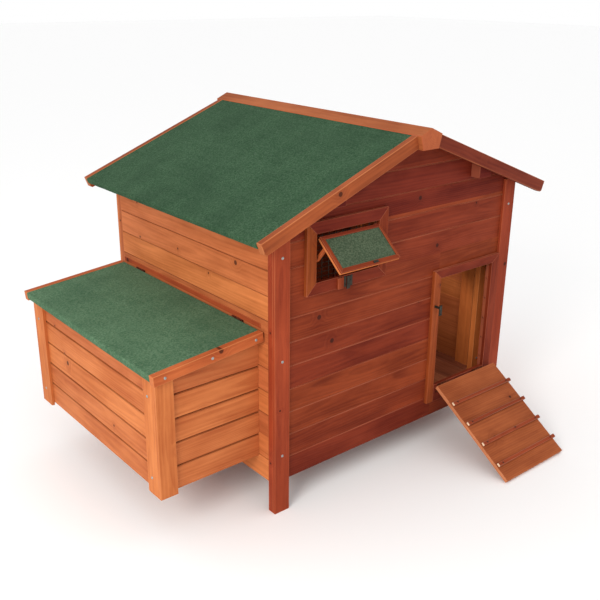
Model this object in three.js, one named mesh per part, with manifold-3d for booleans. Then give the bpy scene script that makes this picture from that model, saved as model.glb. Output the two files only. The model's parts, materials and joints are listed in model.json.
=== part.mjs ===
// Chicken coop: a raised gabled house with a hanging nest box, a top-hung window shutter
// and a bottom-hung ramp door. Millimetres, +Z up. X runs across the gable, Y along the ridge.
// The ramp gable faces -Y and the nest box hangs on the -X side.
import * as THREE from 'three';
import { mergeVertices } from 'three/addons/utils/BufferGeometryUtils.js';
import Module from 'manifold-3d';

const wasm = await Module();
wasm.setup();

// ---------- driving dimensions ----------
const HOUSE_WIDTH = 1000;
const HOUSE_DEPTH = 854;
const GAP = 0.3;
const BOARD = 12;
const PLANK_PITCH = 71.3;
const GROOVE_DEPTH = 2.5;
const GROOVE_HALF_WIDTH = 2.5;
const LEG_CLEARANCE = 100;
const PLANK_ROWS = { windowSill: 8, nestLip: 2, nestLintel: 6 };

const CORNER_BOARD_WIDTH = 52;
const CORNER_BOARD_THICKNESS = 9;
const POST_WIDTH = 40;
const POST_DEPTH = 21;
const LEG_TOP = 863;

const EAVE_HALF_SPAN = 584;
const EAVE_HEIGHT = 849;
const ROOF_SLOPE = 0.39;
const ROOF_HALF_DEPTH = 480;
const BARGE_WIDTH = 38;
const BARGE_THICKNESS = 20;
const BARGE_CLIP = 6;
const DECK_TOP_DROP = 4;
const DECK_THICKNESS = 12;
const FELT_THICKNESS = 2.5;
const EAVE_LIP = 14;
const RIDGE_HALF_LENGTH = 495;
const RIDGE = { peak: 1079, shoulder: 1060, bottom: 1019, shoulderHalf: 43, bottomHalf: 32 };

const FLOOR_TOP = 153;
const PERCH_HEIGHT = 420;
const PERCH_SIZE = 36;
const PERCH_X = 40;

const TRIM = 12;
const WINDOW = { left: -359, right: -124, bottom: 686, top: 824, trim: 34 };
const DOOR = { left: 161, right: 413, bottom: 214, top: 588, trimLeft: 131, trimTop: 615 };
const SILL = { bottom: 154, planksBelow: 10 };

const SHUTTER = { left: -349, right: -127, hingeZ: 815, height: 118, angle: 49, thickness: 12, back: 6 };
const SHUTTER_RAIL = { left: 12, right: 7, top: 10, bottom: 12 };
const STAY = { length: 52, swing: 89, section: 8, offset: 32, width: 12, head: 2, turnGap: 1, inset: 7 };

const RAMP_ANGLE = 124;
const RAMP = { left: 160, right: 453, length: 371, thickness: 12, pivotZ: 217, edge: 3.5 };
const BATTEN = { width: 12, height: 8, count: 4, pitch: 79, insetLeft: 6, overhangRight: 8 };

const NEST = { front: -834, near: -363, far: 386, bottom: 166, postBottom: 156, floorTop: 178 };
const NEST_STANDOFF = 0.5;
const NEST_BOARD = 10;
const NEST_POST_WIDTH = 54;
const LID = {
  near: -384, far: 412, hingeX: -503.5, hingeZ: 566, slope: 0.097, length: 348, batten: 20, depth: 29,
};

const LATCH = { x: 140, z: 498, stem: 4, reach: 24.5 };
const HINGE = { width: 40, barrel: 3, leaf: 1.6, leafBottom: 182, armRise: 1 };
const RAMP_HINGE_X = { left: 200, right: 375 };
const LID_HINGE = { barrel: 2.5, leafHeight: 24, leaf: 1.2, length: 50 };
const LID_HINGE_Y = { near: -260, far: 285 };
const ROUND_SIDES = 12;

// ---------- materials ----------
const WOOD = { roughness: 0.62, metalness: 0 };
const orangeWood = new THREE.MeshStandardMaterial({ color: 0xb86a40, ...WOOD });
const redWood = new THREE.MeshStandardMaterial({ color: 0x93412a, ...WOOD });
const rampWood = new THREE.MeshStandardMaterial({ color: 0xa4633f, ...WOOD });
const floorWood = new THREE.MeshStandardMaterial({ color: 0x6f4a38, roughness: 0.75, metalness: 0 });
const greenFelt = new THREE.MeshStandardMaterial({ color: 0x3f6b4c, roughness: 0.95, metalness: 0 });
const galvanised = new THREE.MeshStandardMaterial({ color: 0xa9acab, roughness: 0.4, metalness: 0.9 });

// ---------- helpers ----------
const UP = new THREE.Vector3(0, 0, 1);
const WELD_DISTANCE = 1e-4;
const coop = new THREE.Group();

function addPiece(name, geometry, material, parent = coop) {
  const mesh = new THREE.Mesh(geometry, material.clone());
  mesh.name = name;
  parent.add(mesh);
  return mesh;
}

// A rectangular board given by its limits along each axis.
function addBoard(name, [x0, x1], [y0, y1], [z0, z1], material, parent = coop) {
  const board = addPiece(name, new THREE.BoxGeometry(x1 - x0, y1 - y0, z1 - z0), material, parent);
  board.position.set((x0 + x1) / 2, (y0 + y1) / 2, (z0 + z1) / 2);
  return board;
}

function outline(points) {
  return new THREE.Shape(points.map(([a, b]) => new THREE.Vector2(a, b)));
}

function extrude(shape, depth) {
  return new THREE.ExtrudeGeometry(shape, { depth, bevelEnabled: false, curveSegments: 6 });
}

// A shape drawn in X and Z, pushed along Y from y0 to y1.
function shapeAlongY(shape, [y0, y1]) {
  const geometry = extrude(shape, y1 - y0);
  geometry.rotateX(Math.PI / 2);
  geometry.translate(0, y1, 0);
  return geometry;
}

function prismAlongY(points, span) {
  return shapeAlongY(outline(points), span);
}

// A flat rectangular frame: its outer limits in X and Z, and the width of each of its sides.
function ringAlongY([x0, x1], [z0, z1], sides, span) {
  const shape = outline([[x0, z0], [x1, z0], [x1, z1], [x0, z1]]);
  shape.holes.push(outline([
    [x0 + sides.left, z0 + sides.bottom],
    [x0 + sides.left, z1 - sides.top],
    [x1 - sides.right, z1 - sides.top],
    [x1 - sides.right, z0 + sides.bottom],
  ]));
  return shapeAlongY(shape, span);
}

// An outline drawn in Y and Z, pushed along X from x0 to x1.
function prismAlongX(points, [x0, x1]) {
  const geometry = extrude(outline(points), x1 - x0);
  const basis = new THREE.Matrix4().makeBasis(
    new THREE.Vector3(0, 1, 0), new THREE.Vector3(0, 0, 1), new THREE.Vector3(1, 0, 0));
  geometry.applyMatrix4(basis);
  geometry.translate(x0, 0, 0);
  return geometry;
}

function toSolid(geometry) {
  const bare = geometry.clone();
  bare.deleteAttribute('normal');
  bare.deleteAttribute('uv');
  const welded = mergeVertices(bare, WELD_DISTANCE);
  return new wasm.Manifold(new wasm.Mesh({
    numProp: 3,
    vertProperties: new Float32Array(welded.attributes.position.array),
    triVerts: new Uint32Array(welded.index.array),
  }));
}

function toGeometry(solid) {
  const mesh = solid.getMesh();
  const geometry = new THREE.BufferGeometry();
  geometry.setAttribute('position', new THREE.BufferAttribute(mesh.vertProperties, 3));
  geometry.setIndex(new THREE.BufferAttribute(mesh.triVerts, 1));
  geometry.computeVertexNormals();
  return geometry;
}

function joined(...geometries) {
  return toGeometry(geometries.map(toSolid).reduce((whole, piece) => whole.add(piece)));
}

function cutTo(geometry, limits) {
  return toGeometry(toSolid(geometry).intersect(toSolid(limits)));
}

// Tongue-and-groove boarding: the cross-section has a V groove at each plank joint on the outer
// face. `outward` is the direction that the outer face looks, `face` its distance along it.
function boarding(outward, face, [start, end], [z0, z1], firstJoint) {
  const profile = [[0, z0]];
  for (let z = firstJoint; z < z1 - GROOVE_HALF_WIDTH; z += PLANK_PITCH) {
    if (z > z0 + GROOVE_HALF_WIDTH) {
      profile.push([0, z - GROOVE_HALF_WIDTH], [-GROOVE_DEPTH, z], [0, z + GROOVE_HALF_WIDTH]);
    }
  }
  profile.push([0, z1], [-BOARD, z1], [-BOARD, z0]);
  const along = new THREE.Vector3().crossVectors(outward, UP);
  const geometry = extrude(outline(profile), end - start);
  geometry.applyMatrix4(new THREE.Matrix4().makeBasis(outward, UP, along));
  const forwards = along.x + along.y > 0;
  const origin = along.clone().multiplyScalar(forwards ? start : -end);
  origin.addScaledVector(outward, face);
  geometry.translate(origin.x, origin.y, 0);
  return geometry;
}

const FRONT = new THREE.Vector3(0, -1, 0);
const BACK = new THREE.Vector3(0, 1, 0);
const LEFT = new THREE.Vector3(-1, 0, 0);
const RIGHT = new THREE.Vector3(1, 0, 0);

// ---------- roof lines ----------
const ROOF_COS = 1 / Math.hypot(1, ROOF_SLOPE);
const ROOF_SIN = ROOF_SLOPE * ROOF_COS;
const APEX = EAVE_HEIGHT + EAVE_HALF_SPAN * ROOF_SLOPE;

// Height of a surface lying `drop` below the top of the barge boards.
function roofHeight(x, drop) {
  return APEX - ROOF_SLOPE * Math.abs(x) - drop / ROOF_COS;
}

// Where a surface lying `drop` below the barge tops meets the tapered side of the ridge beam.
function ridgeSideX(drop) {
  const taper = (RIDGE.shoulderHalf - RIDGE.bottomHalf) / (RIDGE.shoulder - RIDGE.bottom);
  const flat = APEX - drop / ROOF_COS;
  return (RIDGE.bottomHalf + taper * (flat - RIDGE.bottom)) / (1 + taper * ROOF_SLOPE) + GAP;
}

// A point at the eave, `drop` below the barge tops and `back` in from the eave's square cut.
function eavePoint(drop, back = 0) {
  return [
    EAVE_HALF_SPAN - ROOF_SIN * drop - ROOF_COS * back,
    EAVE_HEIGHT - ROOF_COS * drop + ROOF_SIN * back,
  ];
}

function mirrored(points, side) {
  return points.map(([x, z]) => [side * x, z]);
}

function slopeStrip(top, bottom) {
  const inner = [ridgeSideX(bottom), ridgeSideX(top)];
  return [
    [inner[0], roofHeight(inner[0], bottom)],
    eavePoint(bottom),
    eavePoint(top),
    [inner[1], roofHeight(inner[1], top)],
  ];
}

const DECK_BOTTOM_DROP = DECK_TOP_DROP + DECK_THICKNESS;
const UNDER_DECK = DECK_BOTTOM_DROP + GAP;

// ---------- corner legs ----------
const FRONT_FACE = HOUSE_DEPTH / 2;
const PLANK_FACE = FRONT_FACE - CORNER_BOARD_THICKNESS;
const SIDE_FACE = HOUSE_WIDTH / 2;
const SIDE_WALL_END = PLANK_FACE - POST_DEPTH;

function addLeg(name, sideX, sideY) {
  const section = [
    [sideX * SIDE_FACE, sideY * FRONT_FACE],
    [sideX * (SIDE_FACE - CORNER_BOARD_WIDTH), sideY * FRONT_FACE],
    [sideX * (SIDE_FACE - CORNER_BOARD_WIDTH), sideY * PLANK_FACE],
    [sideX * (SIDE_FACE - POST_WIDTH), sideY * PLANK_FACE],
    [sideX * (SIDE_FACE - POST_WIDTH), sideY * SIDE_WALL_END],
    [sideX * SIDE_FACE, sideY * SIDE_WALL_END],
  ];
  addPiece(name, extrude(outline(section), LEG_TOP), orangeWood);
}

addLeg('front_left_leg', -1, -1);
addLeg('front_right_leg', 1, -1);
addLeg('back_left_leg', -1, 1);
addLeg('back_right_leg', 1, 1);

// ---------- gable walls ----------
function plankJoint(row) {
  return LEG_CLEARANCE + row * PLANK_PITCH;
}

const GABLE_END = SIDE_FACE - POST_WIDTH;
const FIRST_JOINT = plankJoint(1);
const RIDGE_SEAT = RIDGE.bottom - GAP;
const SEAT_HALF = (roofHeight(0, UNDER_DECK) - RIDGE_SEAT) / ROOF_SLOPE;
const WINDOW_ROW = plankJoint(PLANK_ROWS.windowSill);

const underRoof = prismAlongY([
  [-GABLE_END, 0],
  [GABLE_END, 0],
  [GABLE_END, roofHeight(GABLE_END, UNDER_DECK)],
  [SEAT_HALF, RIDGE_SEAT],
  [-SEAT_HALF, RIDGE_SEAT],
  [-GABLE_END, roofHeight(GABLE_END, UNDER_DECK)],
], [-FRONT_FACE, FRONT_FACE]);

function addFrontWall(name, across, heights) {
  addPiece(name, boarding(FRONT, PLANK_FACE, across, heights, FIRST_JOINT), redWood);
}

addFrontWall('front_wall_lower', [-GABLE_END, DOOR.left], [LEG_CLEARANCE, WINDOW_ROW]);
addFrontWall('front_wall_below_door', [DOOR.left, DOOR.right],
  [LEG_CLEARANCE, DOOR.bottom - SILL.planksBelow]);
addFrontWall('front_wall_beside_door', [DOOR.right, GABLE_END], [LEG_CLEARANCE, DOOR.top]);
addFrontWall('front_wall_above_door', [DOOR.left, GABLE_END], [DOOR.top, WINDOW_ROW]);
addFrontWall('front_wall_left_of_window', [-GABLE_END, WINDOW.left], [WINDOW_ROW, WINDOW.top]);
addFrontWall('front_wall_right_of_window', [WINDOW.right, GABLE_END], [WINDOW_ROW, WINDOW.top]);
addPiece('front_gable', cutTo(
  boarding(FRONT, PLANK_FACE, [-GABLE_END, GABLE_END], [WINDOW.top, APEX], FIRST_JOINT),
  underRoof), redWood);
addPiece('back_wall', cutTo(
  boarding(BACK, PLANK_FACE, [-GABLE_END, GABLE_END], [LEG_CLEARANCE, APEX], FIRST_JOINT),
  underRoof), redWood);

// ---------- side walls ----------
const NEST_BACK_X = -SIDE_FACE - NEST_STANDOFF;
const NEST_INSIDE = [NEST.near + NEST_BOARD + BOARD, NEST.far - NEST_BOARD - BOARD];
const NEST_LIP = plankJoint(PLANK_ROWS.nestLip);
const NEST_LINTEL = plankJoint(PLANK_ROWS.nestLintel);

function addSideWall(name, outward, along, heights) {
  addPiece(name, boarding(outward, SIDE_FACE, along, heights, FIRST_JOINT), orangeWood);
}

addSideWall('right_wall', RIGHT, [-SIDE_WALL_END, SIDE_WALL_END], [LEG_CLEARANCE, LEG_TOP]);
addSideWall('left_wall_upper', LEFT, [-SIDE_WALL_END, SIDE_WALL_END], [NEST_LINTEL, LEG_TOP]);
addSideWall('left_wall_lower', LEFT, [-SIDE_WALL_END, SIDE_WALL_END], [LEG_CLEARANCE, NEST_LIP]);
addSideWall('left_wall_near_jamb', LEFT, [-SIDE_WALL_END, NEST_INSIDE[0]], [NEST_LIP, NEST_LINTEL]);
addSideWall('left_wall_far_jamb', LEFT, [NEST_INSIDE[1], SIDE_WALL_END], [NEST_LIP, NEST_LINTEL]);

// ---------- floor and perch ----------
const INSIDE_X = SIDE_FACE - BOARD;
const INSIDE_Y = PLANK_FACE - BOARD;
const floorOutline = outline([
  [-GABLE_END, -INSIDE_Y], [GABLE_END, -INSIDE_Y], [GABLE_END, -SIDE_WALL_END],
  [INSIDE_X, -SIDE_WALL_END], [INSIDE_X, SIDE_WALL_END], [GABLE_END, SIDE_WALL_END],
  [GABLE_END, INSIDE_Y], [-GABLE_END, INSIDE_Y], [-GABLE_END, SIDE_WALL_END],
  [-INSIDE_X, SIDE_WALL_END], [-INSIDE_X, -SIDE_WALL_END], [-GABLE_END, -SIDE_WALL_END],
]);
const floor = addPiece('floor', extrude(floorOutline, BOARD), floorWood);
floor.position.z = FLOOR_TOP - BOARD;

const PERCH_ROUND = 12;
const perchHalf = PERCH_SIZE / 2;
const perchShape = new THREE.Shape();
perchShape.moveTo(-perchHalf, -perchHalf);
perchShape.lineTo(perchHalf, -perchHalf);
perchShape.lineTo(perchHalf, perchHalf - PERCH_ROUND);
perchShape.absarc(perchHalf - PERCH_ROUND, perchHalf - PERCH_ROUND, PERCH_ROUND, 0, Math.PI / 2);
perchShape.lineTo(PERCH_ROUND - perchHalf, perchHalf);
perchShape.absarc(PERCH_ROUND - perchHalf, perchHalf - PERCH_ROUND, PERCH_ROUND, Math.PI / 2, Math.PI);
const perchGeometry = extrude(perchShape, 2 * INSIDE_Y);
perchGeometry.rotateX(Math.PI / 2);
const perch = addPiece('perch', perchGeometry, floorWood);
perch.position.set(PERCH_X, INSIDE_Y, PERCH_HEIGHT);

// ---------- roof ----------
const DECK_HALF_DEPTH = ROOF_HALF_DEPTH - BARGE_THICKNESS;

function bargeOutline() {
  const innerTop = ridgeSideX(0);
  const innerBottom = ridgeSideX(BARGE_WIDTH);
  return [
    [innerTop, roofHeight(innerTop, 0)],
    [innerBottom, roofHeight(innerBottom, BARGE_WIDTH)],
    eavePoint(BARGE_WIDTH, BARGE_CLIP),
    eavePoint(BARGE_WIDTH - BARGE_CLIP),
    eavePoint(0),
  ];
}

function feltOutline() {
  const top = DECK_TOP_DROP - FELT_THICKNESS;
  const inner = [ridgeSideX(DECK_TOP_DROP), ridgeSideX(top)];
  return [
    [inner[0], roofHeight(inner[0], DECK_TOP_DROP - GAP)],
    eavePoint(DECK_TOP_DROP - GAP, -GAP),
    eavePoint(DECK_TOP_DROP + EAVE_LIP, -GAP),
    eavePoint(DECK_TOP_DROP + EAVE_LIP, -FELT_THICKNESS),
    eavePoint(top, -FELT_THICKNESS),
    [inner[1], roofHeight(inner[1], top)],
  ];
}

for (const [sideName, side] of [['left', -1], ['right', 1]]) {
  const deck = mirrored(slopeStrip(DECK_TOP_DROP, DECK_BOTTOM_DROP), side);
  const felt = mirrored(feltOutline(), side);
  const barge = mirrored(bargeOutline(), side);
  const between = [-DECK_HALF_DEPTH, DECK_HALF_DEPTH];
  addPiece(`roof_${sideName}_deck`, prismAlongY(deck, between), orangeWood);
  addPiece(`roof_${sideName}_felt`, prismAlongY(felt, between), greenFelt);
  const frontSpan = [-ROOF_HALF_DEPTH, -DECK_HALF_DEPTH];
  const backSpan = [DECK_HALF_DEPTH, ROOF_HALF_DEPTH];
  addPiece(`front_${sideName}_barge_board`, prismAlongY(barge, frontSpan), orangeWood);
  addPiece(`back_${sideName}_barge_board`, prismAlongY(barge, backSpan), orangeWood);
}

addPiece('ridge_beam', prismAlongY([
  [-RIDGE.bottomHalf, RIDGE.bottom],
  [RIDGE.bottomHalf, RIDGE.bottom],
  [RIDGE.shoulderHalf, RIDGE.shoulder],
  [0, RIDGE.peak],
  [-RIDGE.shoulderHalf, RIDGE.shoulder],
], [-RIDGE_HALF_LENGTH, RIDGE_HALF_LENGTH]), orangeWood);

// ---------- window ----------
const TRIM_SPAN = [-PLANK_FACE - TRIM, -PLANK_FACE];
const trimSides = { left: WINDOW.trim, right: WINDOW.trim, top: WINDOW.trim, bottom: WINDOW.trim };
addPiece('window_trim', ringAlongY(
  [WINDOW.left - WINDOW.trim, WINDOW.right + WINDOW.trim],
  [WINDOW.bottom - WINDOW.trim, WINDOW.top + WINDOW.trim],
  trimSides, TRIM_SPAN), redWood);

// Welded wire mesh behind the opening: upright and level square wires joined where they cross.
const MESH = { margin: 10, wire: 1.8, columns: 10, rows: 12, setBack: 1.5 };
const meshBox = {
  x: [WINDOW.left - MESH.margin, WINDOW.right + MESH.margin],
  z: [WINDOW.bottom - MESH.margin, WINDOW.top + MESH.margin],
};
const meshY = -INSIDE_Y + MESH.setBack + MESH.wire / 2;

function wire([x0, x1], [z0, z1]) {
  const geometry = new THREE.BoxGeometry(x1 - x0, MESH.wire, z1 - z0);
  geometry.translate((x0 + x1) / 2, meshY, (z0 + z1) / 2);
  return geometry;
}

function wireLines([low, high], cells) {
  const step = (high - low - MESH.wire) / cells;
  const starts = Array.from({ length: cells + 1 }, (_, index) => low + index * step);
  return starts.map((start) => [start, start + MESH.wire]);
}

const uprights = wireLines(meshBox.x, MESH.columns).map((span) => wire(span, meshBox.z));
const levels = wireLines(meshBox.z, MESH.rows).map((span) => wire(meshBox.x, span));
addPiece('window_mesh', joined(...uprights, ...levels), galvanised);

// Shutter group: its origin is the hinge line along the top outer edge, -Z runs down the leaf.
const shutter = new THREE.Group();
shutter.position.set(0, TRIM_SPAN[0], SHUTTER.hingeZ);
shutter.rotation.x = -THREE.MathUtils.degToRad(SHUTTER.angle);
coop.add(shutter);
const shutterX = [SHUTTER.left, SHUTTER.right];
const borderSpan = [0, SHUTTER.back - GAP];
addBoard('shutter_board', shutterX, [SHUTTER.back, SHUTTER.thickness], [-SHUTTER.height, 0],
  redWood, shutter);
addPiece('shutter_border', ringAlongY(shutterX, [-SHUTTER.height, 0], SHUTTER_RAIL, borderSpan),
  redWood, shutter);
addBoard('shutter_felt',
  [SHUTTER.left + SHUTTER_RAIL.left + GAP, SHUTTER.right - SHUTTER_RAIL.right - GAP],
  [borderSpan[1] - FELT_THICKNESS, borderSpan[1]],
  [-SHUTTER.height + SHUTTER_RAIL.bottom + GAP, -SHUTTER_RAIL.top - GAP], greenFelt, shutter);

// The stay hangs on the shutter's inner face and folds flat against it as the shutter shuts.
const stay = new THREE.Group();
stay.position.set(
  SHUTTER.left + STAY.inset, SHUTTER.thickness + STAY.section / 2 + STAY.turnGap, -STAY.offset);
stay.rotation.x = THREE.MathUtils.degToRad(STAY.swing);
shutter.add(stay);
addBoard('window_stay', [-STAY.width / 2, STAY.width / 2], [-STAY.section / 2, STAY.section / 2],
  [-STAY.length, STAY.head], orangeWood, stay);

// Turn button that hangs below the opening and turns up over the shut shutter.
const BUTTON = { x: -241, pivotZ: 678, below: 33, above: 5, width: 12, thickness: 3 };
addBoard('window_button', [BUTTON.x - BUTTON.width / 2, BUTTON.x + BUTTON.width / 2],
  [TRIM_SPAN[0] - BUTTON.thickness - GAP, TRIM_SPAN[0] - GAP],
  [BUTTON.pivotZ - BUTTON.below, BUTTON.pivotZ + BUTTON.above], galvanised);

// ---------- pop-hole frame ----------
const LEG_INNER_X = SIDE_FACE - CORNER_BOARD_WIDTH;
const FRAME_RIGHT = LEG_INNER_X - GAP;
addBoard('door_trim_left', [DOOR.trimLeft, DOOR.left], TRIM_SPAN, [SILL.bottom, DOOR.top], redWood);
addBoard('door_trim_right', [DOOR.right, FRAME_RIGHT], TRIM_SPAN, [SILL.bottom, DOOR.top], redWood);
addBoard('door_trim_top', [DOOR.trimLeft, FRAME_RIGHT], TRIM_SPAN, [DOOR.top, DOOR.trimTop], redWood);
addBoard('door_sill', [DOOR.left, DOOR.right], TRIM_SPAN, [SILL.bottom, DOOR.bottom], redWood);

// ---------- ramp door ----------
// The ramp group's origin is the hinge line; shut, the ramp stands up along +Z with its
// walking side and battens facing the house.
const BATTEN_CLEARANCE = 0.5;
const RAMP_INNER = TRIM_SPAN[0] - BATTEN_CLEARANCE - BATTEN.height;
const RAMP_PIVOT_Y = RAMP_INNER - HINGE.barrel;
const ramp = new THREE.Group();
ramp.position.set(0, RAMP_PIVOT_Y, RAMP.pivotZ);
ramp.rotation.x = THREE.MathUtils.degToRad(RAMP_ANGLE);
coop.add(ramp);
const rampInner = RAMP_INNER - RAMP_PIVOT_Y;
addBoard('ramp_board', [RAMP.left, RAMP.right], [rampInner - RAMP.thickness, rampInner],
  [RAMP.edge, RAMP.edge + RAMP.length], rampWood, ramp);
for (let index = 1; index <= BATTEN.count; index += 1) {
  const middle = RAMP.edge + index * BATTEN.pitch;
  addBoard(`ramp_batten_${index}`,
    [RAMP.left + BATTEN.insetLeft, RAMP.right + BATTEN.overhangRight],
    [rampInner + GAP, rampInner + BATTEN.height],
    [middle - BATTEN.width / 2, middle + BATTEN.width / 2], rampWood, ramp);
}

const hingePlate = [
  [TRIM_SPAN[0] - HINGE.leaf, HINGE.leafBottom],
  [TRIM_SPAN[0], HINGE.leafBottom],
  [TRIM_SPAN[0], DOOR.bottom],
  [TRIM_SPAN[0] - HINGE.leaf, DOOR.bottom],
];
const hingeArm = [
  [RAMP_PIVOT_Y, DOOR.bottom - HINGE.leaf],
  [TRIM_SPAN[0] - HINGE.leaf / 2, DOOR.bottom - HINGE.leaf],
  [TRIM_SPAN[0] - HINGE.leaf / 2, DOOR.bottom],
  [RAMP_PIVOT_Y, DOOR.bottom + HINGE.armRise],
];
for (const [side, x] of Object.entries(RAMP_HINGE_X)) {
  const span = [x - HINGE.width / 2, x + HINGE.width / 2];
  const barrel = new THREE.CylinderGeometry(HINGE.barrel, HINGE.barrel, HINGE.width, ROUND_SIDES);
  barrel.rotateZ(Math.PI / 2);
  barrel.translate(x, RAMP_PIVOT_Y, RAMP.pivotZ);
  addPiece(`ramp_hinge_${side}`,
    joined(prismAlongX(hingePlate, span), prismAlongX(hingeArm, span), barrel), galvanised);
}

// Turn button beside the pop-hole: it turns a quarter over the edge of the shut ramp.
const BAR = { below: 24, above: 10, width: 12, thickness: 3 };
const stem = new THREE.CylinderGeometry(LATCH.stem, LATCH.stem, LATCH.reach - GAP, ROUND_SIDES);
stem.translate(LATCH.x, 0, 0);
stem.translate(0, TRIM_SPAN[0] - GAP - (LATCH.reach - GAP) / 2, LATCH.z);
const bar = new THREE.BoxGeometry(BAR.width, BAR.thickness, BAR.below + BAR.above);
const barMiddle = LATCH.z + (BAR.above - BAR.below) / 2;
bar.translate(LATCH.x, TRIM_SPAN[0] - LATCH.reach + BAR.thickness / 2, barMiddle);
addPiece('pop_hole_button', joined(stem, bar), galvanised);

// ---------- nest box ----------
const nestSide = [NEST.near + NEST_BOARD, NEST.far - NEST_BOARD];
const nestPlankFace = NEST.front + NEST_BOARD;
const LID_COS = 1 / Math.hypot(1, LID.slope);

// Height of a surface lying `drop` below the top of the lid's side battens.
function lidHeight(x, drop) {
  return LID.hingeZ + LID.slope * (x - LID.hingeX) - drop / LID_COS;
}

const LID_BOARD = { top: 4, thickness: 14, clearance: 0.7 };
const lidUnderside = LID_BOARD.top + LID_BOARD.thickness + LID_BOARD.clearance;
const underLid = prismAlongY([
  [NEST.front, 0],
  [NEST_BACK_X, 0],
  [NEST_BACK_X, lidHeight(NEST_BACK_X, lidUnderside)],
  [NEST.front, lidHeight(NEST.front, lidUnderside)],
], [NEST.near, NEST.far]);
const nestJoint = NEST.bottom + PLANK_PITCH;
const nestTop = LID.hingeZ;
const nestAcross = [nestPlankFace, NEST_BACK_X];
addPiece('nest_near_wall', cutTo(
  boarding(FRONT, -nestSide[0], nestAcross, [NEST.bottom, nestTop], nestJoint), underLid), redWood);
addPiece('nest_far_wall', cutTo(
  boarding(BACK, nestSide[1], nestAcross, [NEST.bottom, nestTop], nestJoint), underLid), redWood);
addPiece('nest_front_wall', boarding(LEFT, -nestPlankFace, [nestSide[0] + BOARD, nestSide[1] - BOARD],
  [NEST.bottom, lidHeight(nestPlankFace, lidUnderside)], nestJoint), orangeWood);

const nestPostTop = lidHeight(NEST.front, lidUnderside);
function addNestPost(name, outerY, side) {
  const section = [
    [NEST.front, outerY],
    [NEST.front + NEST_POST_WIDTH, outerY],
    [NEST.front + NEST_POST_WIDTH, outerY + side * NEST_BOARD],
    [nestPlankFace, outerY + side * NEST_BOARD],
    [nestPlankFace, outerY + side * (NEST_BOARD + NEST_POST_WIDTH)],
    [NEST.front, outerY + side * (NEST_BOARD + NEST_POST_WIDTH)],
  ];
  const post = addPiece(name, extrude(outline(section), nestPostTop - NEST.postBottom), orangeWood);
  post.position.z = NEST.postBottom;
}
addNestPost('nest_near_post', NEST.near, 1);
addNestPost('nest_far_post', NEST.far, -1);

const NEST_INNER_X = [nestPlankFace + BOARD, NEST_BACK_X];
const NEST_MIDDLE = (NEST.near + NEST.far) / 2;
const DIVIDER_TOP = 505;
addBoard('nest_floor', NEST_INNER_X, NEST_INSIDE, [NEST.bottom, NEST.floorTop], floorWood);
addBoard('nest_divider', NEST_INNER_X, [NEST_MIDDLE - BOARD / 2, NEST_MIDDLE + BOARD / 2],
  [NEST.floorTop, DIVIDER_TOP], redWood);

// Lid group: its origin is the hinge line level with the battens' tops, -X runs down the lid.
const lid = new THREE.Group();
lid.position.set(LID.hingeX, 0, LID.hingeZ);
lid.rotation.y = -Math.atan(LID.slope);
coop.add(lid);
const LID_BACK = -3.5;
const lidInside = [LID.near + LID.batten, LID.far - LID.batten];
addBoard('nest_lid_near_batten', [-LID.length, LID_BACK], [LID.near, lidInside[0]],
  [-LID.depth, 0], orangeWood, lid);
addBoard('nest_lid_far_batten', [-LID.length, LID_BACK], [lidInside[1], LID.far],
  [-LID.depth, 0], orangeWood, lid);
addBoard('nest_lid_board', [-LID.length + FELT_THICKNESS + GAP, LID_BACK], lidInside,
  [-LID_BOARD.top - LID_BOARD.thickness, -LID_BOARD.top], orangeWood, lid);
const LID_LIP = 22;
const feltTop = -LID_BOARD.top + FELT_THICKNESS;
addPiece('nest_lid_felt', prismAlongY([
  [LID_BACK, -LID_BOARD.top + GAP],
  [-LID.length + FELT_THICKNESS, -LID_BOARD.top + GAP],
  [-LID.length + FELT_THICKNESS, -LID_LIP],
  [-LID.length, -LID_LIP],
  [-LID.length, feltTop],
  [LID_BACK, feltTop],
].reverse(), lidInside), greenFelt, lid);

for (const [end, y] of Object.entries(LID_HINGE_Y)) {
  const span = [y - LID_HINGE.length / 2, y + LID_HINGE.length / 2];
  const leaf = prismAlongY([
    [NEST_BACK_X - LID_HINGE.leaf, LID.hingeZ - LID_HINGE.leafHeight],
    [NEST_BACK_X, LID.hingeZ - LID_HINGE.leafHeight],
    [NEST_BACK_X, LID.hingeZ],
    [NEST_BACK_X - LID_HINGE.leaf, LID.hingeZ],
  ], span);
  const barrel = new THREE.CylinderGeometry(
    LID_HINGE.barrel, LID_HINGE.barrel, LID_HINGE.length, ROUND_SIDES);
  barrel.translate(LID.hingeX, y, LID.hingeZ);
  addPiece(`nest_lid_hinge_${end}`, joined(leaf, barrel), galvanised);
}

// ---------- place the origin at the middle of the footprint, on the ground ----------
coop.updateMatrixWorld(true);
const bounds = new THREE.Box3().setFromObject(coop, true);
const middle = bounds.getCenter(new THREE.Vector3());
coop.position.set(-middle.x, -middle.y, -bounds.min.z);

export default coop;
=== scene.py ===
"""Looks for the chicken coop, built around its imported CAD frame.

Shapes are worked out in millimetres in the house frame: X runs across the gable, Y along the
ridge, and the ridge is at x = y = 0. They are moved to the row frame, in metres, at the end.
"""

import json
import math
import random

import bmesh
import bpy
from mathutils import Matrix, Vector, noise


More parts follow.
